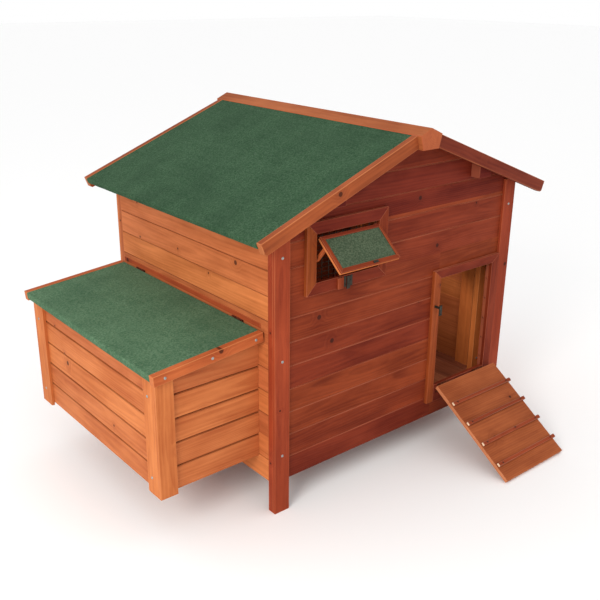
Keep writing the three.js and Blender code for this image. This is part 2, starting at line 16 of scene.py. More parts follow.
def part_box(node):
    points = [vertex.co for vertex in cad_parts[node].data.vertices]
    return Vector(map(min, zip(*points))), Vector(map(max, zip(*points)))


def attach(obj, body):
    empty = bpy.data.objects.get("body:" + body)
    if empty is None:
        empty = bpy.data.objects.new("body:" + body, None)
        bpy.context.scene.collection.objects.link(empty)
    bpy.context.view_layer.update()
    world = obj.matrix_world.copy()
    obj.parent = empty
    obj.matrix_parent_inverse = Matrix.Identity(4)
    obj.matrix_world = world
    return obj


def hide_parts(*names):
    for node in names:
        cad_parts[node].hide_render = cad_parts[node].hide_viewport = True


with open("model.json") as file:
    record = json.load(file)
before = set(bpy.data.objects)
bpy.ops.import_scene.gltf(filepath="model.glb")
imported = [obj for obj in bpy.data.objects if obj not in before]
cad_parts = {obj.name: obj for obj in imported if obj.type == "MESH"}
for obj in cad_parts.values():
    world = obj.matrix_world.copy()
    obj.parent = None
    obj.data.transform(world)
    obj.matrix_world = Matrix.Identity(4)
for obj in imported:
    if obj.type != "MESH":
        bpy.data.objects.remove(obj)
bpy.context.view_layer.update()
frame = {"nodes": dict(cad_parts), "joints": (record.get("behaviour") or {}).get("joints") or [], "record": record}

MM = 0.001
X, Y, Z = Vector((1, 0, 0)), Vector((0, 1, 0)), Vector((0, 0, 1))

ridge_low, ridge_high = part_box("ridge_beam")
HOUSE = Vector(((ridge_low.x + ridge_high.x) / 2, (ridge_low.y + ridge_high.y) / 2, 0))
TO_ROW = Matrix.Translation(HOUSE) @ Matrix.Scale(MM, 4)

BODY_OF = {
    node: body
    for body, nodes in frame["record"]["behaviour"]["bodies"].items()
    for node in nodes
}
SLOT_OF = {part["node"]: part["material_slot"] for part in frame["record"]["subparts"]}
JOINTS = {joint["name"]: joint for joint in frame["joints"]}

# Millimetres: a wall board's cover and thickness, the lowest strip that counts as a board, the
# hidden seam between two solids of one piece, the gap to a neighbouring piece, an eased edge.
PLANK_PITCH = 71.3
BOARD = 12.0
LEAST_BOARD = 2.5
SEAM = 0.1
GAP = 0.3
EDGE = 0.9


def limits(node):
    """Lowest and highest corner of a CAD node in house millimetres."""
    low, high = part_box(node)
    return (low - HOUSE) / MM, (high - HOUSE) / MM


def limits_in(node, turned):
    """Lowest and highest corner of a CAD node in a turned frame, in millimetres."""
    back = turned.inverted() @ TO_ROW.inverted()
    points = [back @ vertex.co for vertex in frame["nodes"][node].data.vertices]
    return (Vector(min(p[i] for p in points) for i in range(3)),
            Vector(max(p[i] for p in points) for i in range(3)))


def joint_at(name):
    """A joint's place in house millimetres."""
    return (Vector(JOINTS[name]["pos_m"]) - HOUSE) / MM


# ---------- materials ----------


class Shader:
    """A material's node tree, with short calls for the nodes used here."""

    def __init__(self, name):
        self.material = bpy.data.materials.new(name)
        self.material.use_nodes = True
        self.tree = self.material.node_tree
        self.principled = self.tree.nodes["Principled BSDF"]

    def put(self, socket, value):
        if isinstance(value, bpy.types.NodeSocket):
            self.tree.links.new(value, socket)
        else:
            socket.default_value = value

    def node(self, kind, inputs=(), **settings):
        made = self.tree.nodes.new(kind)
        for key, value in settings.items():
            setattr(made, key, value)
        for key, value in dict(inputs).items():
            self.put(made.inputs[key], value)
        return made

    def math(self, operation, first, second=0.0):
        return self.node("ShaderNodeMath", {0: first, 1: second}, operation=operation).outputs[0]

    def line(self, value, start, rise):
        """start + rise * value"""
        inputs = {0: value, 1: rise, 2: start}
        return self.node("ShaderNodeMath", inputs, operation="MULTIPLY_ADD").outputs[0]

    def attribute(self, name):
        return self.node("ShaderNodeAttribute", attribute_name=name)

    def combine(self, x, y, z):
        return self.node("ShaderNodeCombineXYZ", {0: x, 1: y, 2: z}).outputs[0]

    def stretch(self, vector, scale):
        return self.node(
            "ShaderNodeVectorMath", {0: vector, 1: scale}, operation="MULTIPLY"
        ).outputs[0]

    def noise(self, vector, scale, detail=3.0, roughness=0.55):
        inputs = {"Vector": vector, "Scale": scale, "Detail": detail, "Roughness": roughness}
        return self.node("ShaderNodeTexNoise", inputs).outputs[0]

    def ramp(self, value, low, high, to_low=0.0, to_high=1.0):
        inputs = {0: value, 1: low, 2: high, 3: to_low, 4: to_high}
        made = self.node("ShaderNodeMapRange", inputs, interpolation_type="SMOOTHSTEP")
        return made.outputs[0]

    def mix(self, factor, first, second, blend="MIX"):
        made = self.node("ShaderNodeMix", data_type="RGBA", blend_type=blend)
        self.put(made.inputs[0], factor)
        self.put(made.inputs[6], first)
        self.put(made.inputs[7], second)
        return made.outputs[2]

    def bump(self, height, strength, distance):
        inputs = {"Strength": strength, "Distance": distance, "Height": height}
        self.put(self.principled.inputs["Normal"], self.node("ShaderNodeBump", inputs).outputs[0])


def linear(red, green, blue):
    """An sRGB colour from 0 to 255 as the linear colour that a shader takes."""
    def channel(value):
        value /= 255
        return value / 12.92 if value <= 0.04045 else ((value + 0.055) / 1.055) ** 2.4
    return (channel(red), channel(green), channel(blue), 1.0)


KNOT = linear(46, 20, 13)
KNOT_CELLS = 5.2        # cells per metre, each with one knot or none
KNOTLESS = 0.4          # share of the cells with none
KNOT_REACH = (0.018, 0.022)     # least radius and its spread, in cells
KNOT_SWELL = 0.009      # how far a knot pushes the rings aside, in metres
RINGS_PER_METRE = 190.0
RING_WANDER = 0.035
RING_CONTRAST = 0.24
SHADE_VALUE = (0.85, 0.3)       # a board's value at shade 0, and its rise to shade 1
SHADE_HUE = (0.496, 0.008)
JOINT_SHADE_AND_STAIN = -0.75      # how much of an edge below 0 turns dark: painted shade, with stain, in a joint
END_SHOW = 0.45
WOOD_GLOSS = 0.1
FELT_GLOSS = 0.08


def stained_wood(name, light, dark, end):
    """Stained fir. The grain attribute is (along, across, through) the board, in metres, with
    the tree's heart at across = through = 0, so that growth rings cut the faces as in a board.
    The edge attribute is above 0 on rubbed edges and painted highlights, and below 0 where shade is painted into a
    joint along with its stain."""
    shader = Shader(name)
    grain = shader.attribute("grain").outputs["Vector"]
    parts = shader.node("ShaderNodeSeparateXYZ", {0: grain}).outputs
    flat = shader.combine(parts[0], parts[1], 0.0)
    knots = shader.node(
        "ShaderNodeTexVoronoi", {"Vector": flat, "Scale": KNOT_CELLS}, voronoi_dimensions="2D")
    chosen = shader.node("ShaderNodeSeparateColor", {0: knots.outputs["Color"]}).outputs
    present = shader.math("GREATER_THAN", chosen[0], KNOTLESS)
    reach = shader.line(chosen[1], *KNOT_REACH)
    spread = shader.math("DIVIDE", knots.outputs["Distance"], reach)
    core = shader.math("MULTIPLY", shader.ramp(spread, 0.75, 1.15, 1.0, 0.0), present)
    halo = shader.math("MULTIPLY", shader.ramp(spread, 0.9, 5.0, 1.0, 0.0), present)

    across = shader.math("MULTIPLY", parts[1], parts[1])
    through = shader.math("MULTIPLY", parts[2], parts[2])
    radius = shader.math("SQRT", shader.math("ADD", across, through))
    wander = shader.noise(shader.stretch(grain, (1.6, 7.0, 7.0)), 1.0, 2.0)
    radius = shader.math("ADD", radius, shader.math("MULTIPLY", wander, RING_WANDER))
    radius = shader.math("ADD", radius, shader.math("MULTIPLY", halo, KNOT_SWELL))
    phase = shader.math("FRACT", shader.math("MULTIPLY", radius, RINGS_PER_METRE))
    rings = shader.math(
        "MULTIPLY", shader.ramp(phase, 0.15, 0.85), shader.ramp(phase, 0.88, 1.0, 1.0, 0.0))

    streaks = shader.noise(shader.stretch(grain, (3.0, 95.0, 95.0)), 1.0, 4.0)
    fibres = shader.noise(shader.stretch(grain, (22.0, 900.0, 900.0)), 1.0, 3.0)
    clouds = shader.noise(shader.stretch(grain, (4.0, 11.0, 11.0)), 1.0, 4.0)
    tone = shader.math("MULTIPLY", rings, RING_CONTRAST)
    tone = shader.math("ADD", tone, shader.ramp(streaks, 0.35, 0.75, -0.05, 0.3))
    tone = shader.math("ADD", tone, shader.ramp(clouds, 0.3, 0.7, -0.15, 0.5))
    tone = shader.math("ADD", tone, shader.math("MULTIPLY", fibres, 0.16))
    tone.node.use_clamp = True

    shade = shader.attribute("shade").outputs["Fac"]
    edge = shader.attribute("edge").outputs["Fac"]
    end_grain = shader.attribute("end_grain").outputs["Fac"]
    colour = shader.mix(tone, light, dark)
    value = shader.line(shade, *SHADE_VALUE)
    hue = shader.line(shade, *SHADE_HUE)
    colour = shader.node(
        "ShaderNodeHueSaturation", {"Hue": hue, "Value": value, "Color": colour}
    ).outputs[0]
    colour = shader.mix(shader.math("MULTIPLY", halo, 0.35), colour, dark)
    colour = shader.mix(shader.math("MULTIPLY", core, 0.8), colour, KNOT)
    # Edges above 0 turn pale: wear on eased edges, and painted highlights on trim tops and on the chamfers of
    # tight joints.
    wear_and_highlight = shader.math("MULTIPLY", edge, shader.ramp(streaks, 0.3, 0.6, 0.15, 0.6))
    colour = shader.mix(wear_and_highlight, colour, end)
    # Edges below 0 turn dark: painted shade, with stain, in the joints between boards.
    colour = shader.mix(shader.math("MULTIPLY", edge, JOINT_SHADE_AND_STAIN), colour, KNOT)
    colour = shader.mix(shader.math("MULTIPLY", end_grain, END_SHOW), colour, end)
    shader.put(shader.principled.inputs["Base Color"], colour)
    rough = shader.ramp(clouds, 0.3, 0.7, 0.5, 0.62)
    rough = shader.math("ADD", rough, shader.math("MULTIPLY", fibres, 0.1))
    shader.put(shader.principled.inputs["Roughness"], rough)
    shader.principled.inputs["Specular IOR Level"].default_value = WOOD_GLOSS
    height = shader.math("MULTIPLY", fibres, 0.6)
    height = shader.math("ADD", height, shader.math("MULTIPLY", rings, -0.35))
    height = shader.math("ADD", height, shader.math("MULTIPLY", core, -0.6))
    shader.bump(height, 0.35, 0.0006)
    return shader.material


def mineral_felt(name, base, pale, deep):
    """Roofing felt: a bitumen sheet set with crushed green mineral."""
    shader = Shader(name)
    place = shader.attribute("grain").outputs["Vector"]
    grit = shader.node("ShaderNodeTexVoronoi", {"Vector": place, "Scale": 520.0})
    grains = shader.node("ShaderNodeSeparateColor", {0: grit.outputs["Color"]}).outputs
    clumps = shader.noise(place, 170.0, 3.0, 0.7)
    patches = shader.noise(shader.stretch(place, (5.0, 9.0, 9.0)), 1.0, 4.0)
    lanes = shader.noise(shader.stretch(place, (60.0, 3.0, 60.0)), 1.0, 2.0)
    colour = shader.mix(shader.ramp(clumps, 0.35, 0.68), base, pale)
    colour = shader.mix(shader.ramp(grains[0], 0.55, 1.0, 0.0, 0.55), colour, deep)
    colour = shader.mix(shader.ramp(grains[1], 0.8, 1.0, 0.0, 0.5), colour, pale)
    colour = shader.mix(shader.ramp(patches, 0.35, 0.7, 0.0, 0.35), colour, deep)
    colour = shader.mix(shader.ramp(lanes, 0.4, 0.7, 0.0, 0.14), colour, pale)
    edge = shader.attribute("edge").outputs["Fac"]
    colour = shader.mix(shader.math("MULTIPLY", edge, 0.3), colour, pale)
    shader.put(shader.principled.inputs["Base Color"], colour)
    shader.put(shader.principled.inputs["Roughness"], shader.ramp(grains[2], 0.0, 1.0, 0.8, 0.98))
    shader.principled.inputs["Specular IOR Level"].default_value = FELT_GLOSS
    height = shader.math("ADD", shader.math("MULTIPLY", grains[0], 0.5), clumps)
    shader.bump(height, 0.6, 0.0011)
    return shader.material


def zinc(name, base, dull, roughness):
    """Galvanised steel with its spangle and a few dull, handled patches."""
    shader = Shader(name)
    place = shader.attribute("grain").outputs["Vector"]
    spangle = shader.node("ShaderNodeTexVoronoi", {"Vector": place, "Scale": 260.0})
    facets = shader.node("ShaderNodeSeparateColor", {0: spangle.outputs["Color"]}).outputs
    grime = shader.noise(place, 90.0, 5.0, 0.65)
    colour = shader.mix(shader.math("MULTIPLY", facets[0], 0.35), base, dull)
    colour = shader.mix(shader.ramp(grime, 0.5, 0.72), colour, dull)
    shader.put(shader.principled.inputs["Base Color"], colour)
    rough = shader.ramp(grime, 0.3, 0.7, roughness, roughness + 0.25)
    shader.put(shader.principled.inputs["Roughness"], rough)
    shader.principled.inputs["Metallic"].default_value = 0.9
    shader.bump(grime, 0.2, 0.0003)
    return shader.material


MATERIALS = {
    "stained_fir_light": stained_wood(
        "fir_light", linear(190, 98, 54), linear(148, 66, 34), linear(204, 128, 78)),
    "stained_fir_dark": stained_wood(
        "fir_dark", linear(139, 57, 29), linear(97, 31, 14), linear(180, 102, 74)),
    "ramp_fir": stained_wood(
        "fir_ramp", linear(166, 88, 48), linear(126, 58, 30), linear(236, 158, 112)),
    # Made paler as painted light, since little light reaches the inside of the house.
    "inside_fir": stained_wood(
        "fir_inside", linear(160, 92, 64), linear(116, 62, 42), linear(176, 116, 84)),
    "mineral_felt": mineral_felt(
        "mineral_felt", linear(45, 75, 50), linear(72, 98, 74), linear(27, 50, 34)),
    "galvanised_steel": zinc("zinc", linear(176, 178, 176), linear(104, 104, 100), 0.36),
}
# The same stain on other stock: the legs are redder, the side walls and the nest box paler, and
# the ramp's battens are raw where they were cut.
LEG_WOOD = stained_wood(
    "fir_leg", linear(162, 68, 38), linear(124, 46, 26), linear(190, 110, 70))
WALL_WOOD = stained_wood(
    "fir_wall", linear(200, 115, 66), linear(162, 86, 45), linear(206, 134, 84))
NEST_WOOD = stained_wood(
    "fir_nest", linear(196, 114, 65), linear(160, 80, 42), linear(206, 134, 86))
RIDGE_WOOD = stained_wood(
    "fir_ridge", linear(168, 92, 52), linear(128, 62, 34), linear(178, 88, 58))
BARGE_WOOD = stained_wood(
    "fir_barge", linear(160, 80, 43), linear(120, 54, 29), linear(200, 126, 80))
BATTEN_WOOD = stained_wood(
    "fir_batten", linear(154, 68, 36), linear(116, 46, 25), linear(248, 222, 190))
LID_FELT = mineral_felt(
    "mineral_felt_lid", linear(66, 99, 71), linear(101, 129, 101), linear(43, 74, 52))
WINDOW_FELT = mineral_felt(
    "mineral_felt_window", linear(66, 83, 62), linear(98, 111, 88), linear(41, 56, 41))
DARK_ZINC = zinc("zinc_dark", linear(70, 66, 58), linear(34, 31, 28), 0.5)
STAINED_ZINC = zinc("zinc_stained", linear(112, 54, 34), linear(76, 34, 22), 0.6)


# ---------- solids ----------


SHARP = 0.3             # radians between two faces, above which their edge is eased
END_FACING = 0.85       # how squarely a face must look along the grain to be end grain
GRAIN_LENGTH = 40       # metres of timber that a board's start is drawn from
HEART_ACROSS = (-0.03, 0.03)
HEART_THROUGH = (0.03, 0.075)


class Solid:
    """One board or fitting: a bmesh with its grain, edge and end-grain data per vertex or face."""

    def __init__(self, mesh, seed, along=X, normal=Z, bevel=EDGE, segments=2, tone=None):
        self.mesh = mesh
        chance = random.Random(seed)
        bmesh.ops.recalc_face_normals(mesh, faces=mesh.faces[:])
        rounded = []
        if bevel:
            sharp = [e for e in mesh.edges
                     if len(e.link_faces) == 2 and e.calc_face_angle() > SHARP]
            result = bmesh.ops.bevel(
                mesh, geom=sharp, offset=bevel, offset_type="OFFSET", segments=segments,
                profile=0.6, affect="EDGES", clamp_overlap=True)
            rounded = result["faces"]
        rounded = set(rounded)
        self.edge = [1.0 if face in rounded else 0.0 for face in mesh.faces]
        self.end = [
            1.0 if abs(face.normal.dot(along)) > END_FACING and face not in rounded else 0.0
            for face in mesh.faces
        ]
        across = normal.cross(along)
        middle = sum((v.co for v in mesh.verts), Vector()) / len(mesh.verts)
        start = chance.uniform(0, GRAIN_LENGTH)
        heart = Vector((0, chance.uniform(*HEART_ACROSS), chance.uniform(*HEART_THROUGH)))
        self.grain = []
        for vertex in mesh.verts:
            offset = (vertex.co - middle) * MM
            self.grain.append((
                offset.dot(along) + start,
                offset.dot(across) - heart.y,
                offset.dot(normal) - heart.z,
            ))
        self.shade = chance.random() if tone is None else tone

    def moved(self, matrix):
        self.mesh.transform(matrix)
        return self


PLANES = {"XZ": (0, 2, 1), "YZ": (1, 2, 0), "XY": (0, 1, 2)}


def prism(points, plane, span):
    """A closed outline in one plane, pushed along the third axis."""
    first, second, depth = PLANES[plane]
    mesh = bmesh.new()
    rings = []
    for level in span:
        ring = []
        for a, b in points:
            place = [0.0, 0.0, 0.0]
            place[first], place[second], place[depth] = a, b, level
            ring.append(mesh.verts.new(place))
        rings.append(ring)
    for ring in rings:
        mesh.faces.new(ring)
    for i, start in enumerate(rings[0]):
        follow = (i + 1) % len(points)
        mesh.faces.new((start, rings[0][follow], rings[1][follow], rings[1][i]))
    return mesh


def block(low, high):
    """A box between two corners."""
    return prism([(low[0], low[1]), (high[0], low[1]), (high[0], high[1]), (low[0], high[1])],
                 "XY", (low[2], high[2]))


def cut(mesh, point, away):
    """Takes off what lies on the far side of a plane and closes the cut."""
    geometry = mesh.verts[:] + mesh.edges[:] + mesh.faces[:]
    result = bmesh.ops.bisect_plane(
        mesh, geom=geometry, plane_co=point, plane_no=away, clear_outer=True, dist=1e-4)
    rim = [g for g in result["geom_cut"] if isinstance(g, bmesh.types.BMEdge)]
    if rim:
        bmesh.ops.edgeloop_fill(mesh, edges=rim)
    return mesh


def lathe(rings, centre, outward, sides=14):
    """Rings of (radius, height) round a line that leaves the surface along outward."""
    turn = outward.to_track_quat("Z", "Y").to_matrix()
    mesh = bmesh.new()
    loops = []
    for radius, height in rings:
        loop = []
        for i in range(sides):
            angle = 2 * math.pi * i / sides
            local = Vector((radius * math.cos(angle), radius * math.sin(angle), height))
            loop.append(mesh.verts.new(centre + turn @ local))
        loops.append(loop)
    for lower, upper in zip(loops, loops[1:]):
        for i in range(sides):
            follow = (i + 1) % sides
            mesh.faces.new((lower[i], lower[follow], upper[follow], upper[i]))
    mesh.faces.new(loops[0][::-1])
    mesh.faces.new(loops[-1])
    return mesh


def piece(name, solids, slot, body, replaces=(), material=None):
    """Joins solids into one object in the row frame and ties it to its body."""
    points, faces, grain, shade, edge, end = [], [], [], [], [], []
    for solid in solids:
        base = len(points)
        solid.mesh.verts.index_update()
        points += [TO_ROW @ vertex.co for vertex in solid.mesh.verts]
        faces += [[base + vertex.index for vertex in face.verts] for face in solid.mesh.faces]
        grain += solid.grain
        shade += [solid.shade] * len(solid.grain)
        edge += solid.edge
        end += solid.end
        solid.mesh.free()
    mesh = bpy.data.meshes.new(name)
    mesh.from_pydata(points, [], faces)
    for title, kind, domain, key, values in (
        ("grain", "FLOAT_VECTOR", "POINT", "vector", [c for g in grain for c in g]),
        ("shade", "FLOAT", "POINT", "value", shade),
        ("edge", "FLOAT", "FACE", "value", edge),
        ("end_grain", "FLOAT", "FACE", "value", end),
    ):
        mesh.attributes.new(title, kind, domain).data.foreach_set(key, values)
    mesh.update()
    made = bpy.data.objects.new(name, mesh)
    bpy.context.scene.collection.objects.link(made)
    made.data.materials.append(material or MATERIALS[slot])
    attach(made, body)
    if replaces:
        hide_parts(*replaces)
    return made


def stand_for(node, solids, material=None):
    """A detailed piece in place of one CAD node, on that node's body and slot."""
    return piece(node + "_made", solids, SLOT_OF[node], BODY_OF[node], [node], material)


WELD = 0.01
FLAT = math.radians(1)


def cad_solid(node, along, normal, bevel=EDGE, tone=None):
    """A CAD node's own shape with its flat faces merged and its edges eased."""
    mesh = bmesh.new()
    mesh.from_mesh(frame["nodes"][node].data)
    mesh.transform(TO_ROW.inverted())
    bmesh.ops.remove_doubles(mesh, verts=mesh.verts[:], dist=WELD)
    bmesh.ops.dissolve_limit(
        mesh, angle_limit=FLAT, verts=mesh.verts[:], edges=mesh.edges[:])
    return Solid(mesh, node, along, normal, bevel, tone=tone)


def cad_outline(node, axis):
    """The ordered outline of a prism-shaped CAD node's end face, as house points."""
    mesh = bmesh.new()
    mesh.from_mesh(frame["nodes"][node].data)
    mesh.transform(TO_ROW.inverted())
    bmesh.ops.remove_doubles(mesh, verts=mesh.verts[:], dist=WELD)
    bmesh.ops.dissolve_limit(
        mesh, angle_limit=FLAT, verts=mesh.verts[:], edges=mesh.edges[:])
    mesh.normal_update()
    end = max(mesh.faces, key=lambda face: (round(abs(face.normal.dot(axis)), 2), face.calc_area()))
    points = [vertex.co.copy() for vertex in end.verts]
    mesh.free()
    return points


# ---------- boarding ----------


# A joint between boards, in millimetres: how far it stands open, how deep it goes, and how
# much is planed off the lower board's top edge and the upper board's bottom edge.
# The last value is above 0 where the planed edges have rubbed pale and carry a painted highlight, and below 0
# where stain lies and shade is painted into the joint.
TIGHT_JOINT = {"open": 0.6, "depth": 3.4, "lower": 2.4, "upper": 1.3, "shading_and_wear": 1.0}
SIDE_JOINT = {"open": 1.4, "depth": 3.4, "lower": 1.8, "upper": 1.0, "shading_and_wear": -0.35}
OPEN_JOINT = {"open": 3.4, "depth": 5.0, "lower": 1.8, "upper": 1.4, "shading_and_wear": -0.5}


# A tongue inside the board above keeps the light out: its height, and where its back lies.
TONGUE = 3.0
TONGUE_BACK = 9.0
SLANT = (0.3, 0.95)     # how far a planed edge's normal may point up or down
FACING = 0.95           # how squarely a face must look outward to be the floor of a joint
RECESS = 1.0


def plank(face, outward, side, span, heights, joint, lowest, highest):
    """One board of a wall. side is the axis that it runs along, face its outer face's place."""
    z0, z1 = heights[0] + SEAM / 2, heights[1] - SEAM / 2
    back = face - outward * BOARD
    bottom = [(face, z0)]
    if not lowest:
        bottom = [(face - outward * joint["upper"], z0), (face, z0 + joint["upper"])]
    top = [(face, z1)]
    if not highest:
        lip = z1 - joint["open"]
        inner = face - outward * joint["depth"]
        behind = face - outward * TONGUE_BACK
        top = [(face, lip - joint["lower"]), (face - outward * joint["lower"], lip),
               (inner, lip), (inner, z1 + TONGUE), (behind, z1 + TONGUE), (behind, z1)]
    return prism([*bottom, *top, (back, z1), (back, z0)], "XZ" if side == "Y" else "YZ", span)


def boarding(node, outward_axis, outward, run, first_joint, trims=(), joint=TIGHT_JOINT,
             tones=None):
    """A CAD wall as separate boards, each with its own grain and shade. trims are planes that
    cut it, tones the limits of its shades."""
    low, high = limits(node)
    depth = "XYZ".index(outward_axis)
    face = high[depth] if outward > 0 else low[depth]
    along = "XYZ".index(run)
    heights = [low.z]
    level = first_joint
    while level < high.z - LEAST_BOARD:
        if level > low.z + LEAST_BOARD:
            heights.append(level)
        level += PLANK_PITCH
    heights.append(high.z)
    boards = []
    normal = (X if outward_axis == "X" else Y) * outward
    for number, (z0, z1) in enumerate(zip(heights, heights[1:])):
        mesh = plank(face, outward, run, (low[along], high[along]), (z0, z1), joint,
                     number == 0, number == len(heights) - 2)
        for point, away in trims:
            if mesh.verts:
                cut(mesh, point, away)
        if len(mesh.faces) < 4:
            mesh.free()
            continue
        tone = random.Random(f"{node}{number}").uniform(*tones) if tones else None
        solid = Solid(mesh, f"{node}{round(z0)}", X if run == "X" else Y, normal, 0, tone=tone)
        # A joint's planed edges take its last value: painted highlight and wear above 0, painted shade and stain
        # below 0. The recessed floor of an open joint gets full painted shade.
        for i, board_face in enumerate(mesh.faces):
            outlook = board_face.normal.dot(normal)
            if SLANT[0] < abs(board_face.normal.z) < SLANT[1] and outlook > SLANT[0]:
                solid.edge[i] = joint["shading_and_wear"]
            recess = (face - board_face.calc_center_median()[depth]) * outward
            if joint["shading_and_wear"] < 0 and outlook > FACING and recess > RECESS:
                solid.edge[i] = -1.0
        boards.append(solid)
    return boards


wall_bottom = limits("right_wall")[0].z
FIRST_JOINT = wall_bottom + PLANK_PITCH

deck = cad_outline("roof_right_deck", Y)
eave_x = max(p.x for p in deck)
inner_foot = min((p for p in deck if p.x < eave_x / 2), key=lambda p: p.z)
outer_foot = min((p for p in deck if p.x > eave_x / 2), key=lambda p: p.z)
slope_down = (outer_foot - inner_foot).normalized()
slope_down.y = 0.0
ROOF_UP = Vector((-slope_down.z, 0, slope_down.x))
UNDER_DECK = inner_foot - ROOF_UP * GAP
RIDGE_BOTTOM = limits("ridge_beam")[0].z


def flipped(vector):
    return Vector((-vector.x, vector.y, vector.z))


gable_cuts = [
    (UNDER_DECK, ROOF_UP),
    (flipped(UNDER_DECK), flipped(ROOF_UP)),
    (Vector((0, 0, RIDGE_BOTTOM - GAP)), Z),
]

for node in ("front_wall_lower", "front_wall_below_door", "front_wall_beside_door",
             "front_wall_above_door", "front_wall_left_of_window", "front_wall_right_of_window"):
    stand_for(node, boarding(node, "Y", -1, "X", FIRST_JOINT))
# The gable's boards are toned darker, as painted shade under the roof's overhang.
stand_for("front_gable", boarding("front_gable", "Y", -1, "X", FIRST_JOINT, trims=gable_cuts,
                                  tones=(-0.5, 0.2)))
# The back wall's boards are toned lighter, as painted light inside the house.
stand_for("back_wall", boarding("back_wall", "Y", 1, "X", FIRST_JOINT, trims=gable_cuts,
                                tones=(0.5, 1.3)))
stand_for("right_wall", boarding("right_wall", "X", 1, "Y", FIRST_JOINT, joint=SIDE_JOINT),
          WALL_WOOD)
for node in ("left_wall_upper", "left_wall_lower", "left_wall_near_jamb", "left_wall_far_jamb"):
    stand_for(node, boarding(node, "X", -1, "Y", FIRST_JOINT, joint=SIDE_JOINT), WALL_WOOD)

# ---------- corner legs: a face board nailed to a post ----------
POST_WIDTH = 40
CORNER_BOARD = 9
LEG_EDGE = 1.2
for node in ("front_left_leg", "front_right_leg", "back_left_leg", "back_right_leg"):
    low, high = limits(node)
    front = "front" in node
    left = "left" in node
    board_y = (low.y, low.y + CORNER_BOARD) if front else (high.y - CORNER_BOARD, high.y)
    post_y = (board_y[1] + SEAM, high.y) if front else (low.y, board_y[0] - SEAM)
    post_x = (low.x, low.x + POST_WIDTH) if left else (high.x - POST_WIDTH, high.x)
    face = -Y if front else Y
    stand_for(node, [
        Solid(block((low.x, board_y[0], low.z), (high.x, board_y[1], high.z)),
              node + "board", Z, face, LEG_EDGE),
        Solid(block((post_x[0], post_y[0], low.z), (post_x[1], post_y[1], high.z)),
              node + "post", Z, -X if left else X, LEG_EDGE),
    ], WALL_WOOD if node == "back_left_leg" else LEG_WOOD)

# ---------- roof ----------
RIDGE_EDGE, RIDGE_TONE = 1.6, 0.75
SHEET_EDGE = 0.8
BARGE_EDGE = 1.8
stand_for("ridge_beam", [cad_solid("ridge_beam", Y, Z, RIDGE_EDGE, RIDGE_TONE)], RIDGE_WOOD)
# Per-board tones: the front right barge board is toned much darker as painted shade.
BARGE_TONES = {"front_left": 0.7, "front_right": -0.9, "back_left": 0.4, "back_right": 0.4}
for side in ("left", "right"):
    up = ROOF_UP if side == "right" else flipped(ROOF_UP)
    down = slope_down if side == "right" else flipped(slope_down)
    stand_for(f"roof_{side}_deck", [cad_solid(f"roof_{side}_deck", Y, up, SHEET_EDGE)])
    for end in ("front", "back"):
        node = f"{end}_{side}_barge_board"
        stand_for(node, [cad_solid(node, down, -Y if end == "front" else Y, BARGE_EDGE,
                                   BARGE_TONES[f"{end}_{side}"])], BARGE_WOOD)


FELT = 2.5
FELT_STEP = 14
FELT_STEPS_ALONG = 64
FELT_SAG = 0.35
SAG_SIZE = 0.012        # waves per millimetre
HEM = 1.6
HEM_SIZE = 0.03
SMOOTH = math.radians(50)


def felt_sheet(node, line, span, material=None):
    """Felt laid over a board and folded down at its edge. line is the outer line in X and Z from
    the top to the hem, which is cut unevenly."""
    thickness = FELT - GAP
    steps = FELT_STEPS_ALONG
    fine = []
    for (a, b), (c, d) in zip(line, line[1:]):
        count = max(1, int(math.hypot(c - a, d - b) / FELT_STEP))
        fine += [(a + (c - a) * i / count, b + (d - b) * i / count) for i in range(count)]
    fine.append(line[-1])
    outward = []
    for i in range(len(fine)):
        before, after = fine[max(i - 1, 0)], fine[min(i + 1, len(fine) - 1)]
        run = Vector((after[0] - before[0], after[1] - before[1])).normalized()
        side = 1 if line[-1][0] > line[0][0] else -1
        outward.append(Vector((-run.y * side, run.x * side)))
    mesh = bmesh.new()
    sheets = []
    for skin in (0, 1):
        rows = []
        for j in range(steps + 1):
            y = span[0] + (span[1] - span[0]) * j / steps
            row = []
            for i, (x, z) in enumerate(fine):
                off = outward[i] * (-thickness * skin)
                lift = -FELT_SAG * abs(noise.noise(Vector((x, y, 7.0)) * SAG_SIZE))
                drop = 0.0
                if i == len(fine) - 1:
                    drop = HEM * (0.5 + 0.5 * noise.noise(Vector((3.0, y * HEM_SIZE, 1.0))))
                place = Vector((x, y, z)) + Vector((outward[i].x, 0, outward[i].y)) * lift
                place += Vector((off.x, 0, off.y + drop))
                row.append(mesh.verts.new(place))
            rows.append(row)
        sheets.append(rows)
    top, under = sheets
    wide, long = len(fine) - 1, steps
    for j in range(long):
        for i in range(wide):
            mesh.faces.new((top[j][i], top[j][i + 1], top[j + 1][i + 1], top[j + 1][i]))
            mesh.faces.new((under[j][i], under[j + 1][i], under[j + 1][i + 1], under[j][i + 1]))
        for i in (0, wide):
            mesh.faces.new((top[j][i], top[j + 1][i], under[j + 1][i], under[j][i]))
    for i in range(wide):
        for j in (0, long):
            mesh.faces.new((top[j][i], top[j][i + 1], under[j][i + 1], under[j][i]))
    made = stand_for(node, [Solid(mesh, node, X, Z, 0)], material)
    made.data.shade_smooth()
    made.data.set_sharp_from_angle(angle=SMOOTH)


def rounded(line, radius=4.0, arc=4):
    """A line of points with each inner corner turned through a small arc."""
    made = [line[0]]
    for before, corner, after in zip(line, line[1:], line[2:]):
        here = Vector(corner)
        back = (Vector(before) - here).normalized() * radius
        on = (Vector(after) - here).normalized() * radius
        for i in range(arc + 1):
            t = i / arc
            made.append(tuple(here + back * (1 - t) ** 2 + on * t ** 2))
    made.append(line[-1])
    return made


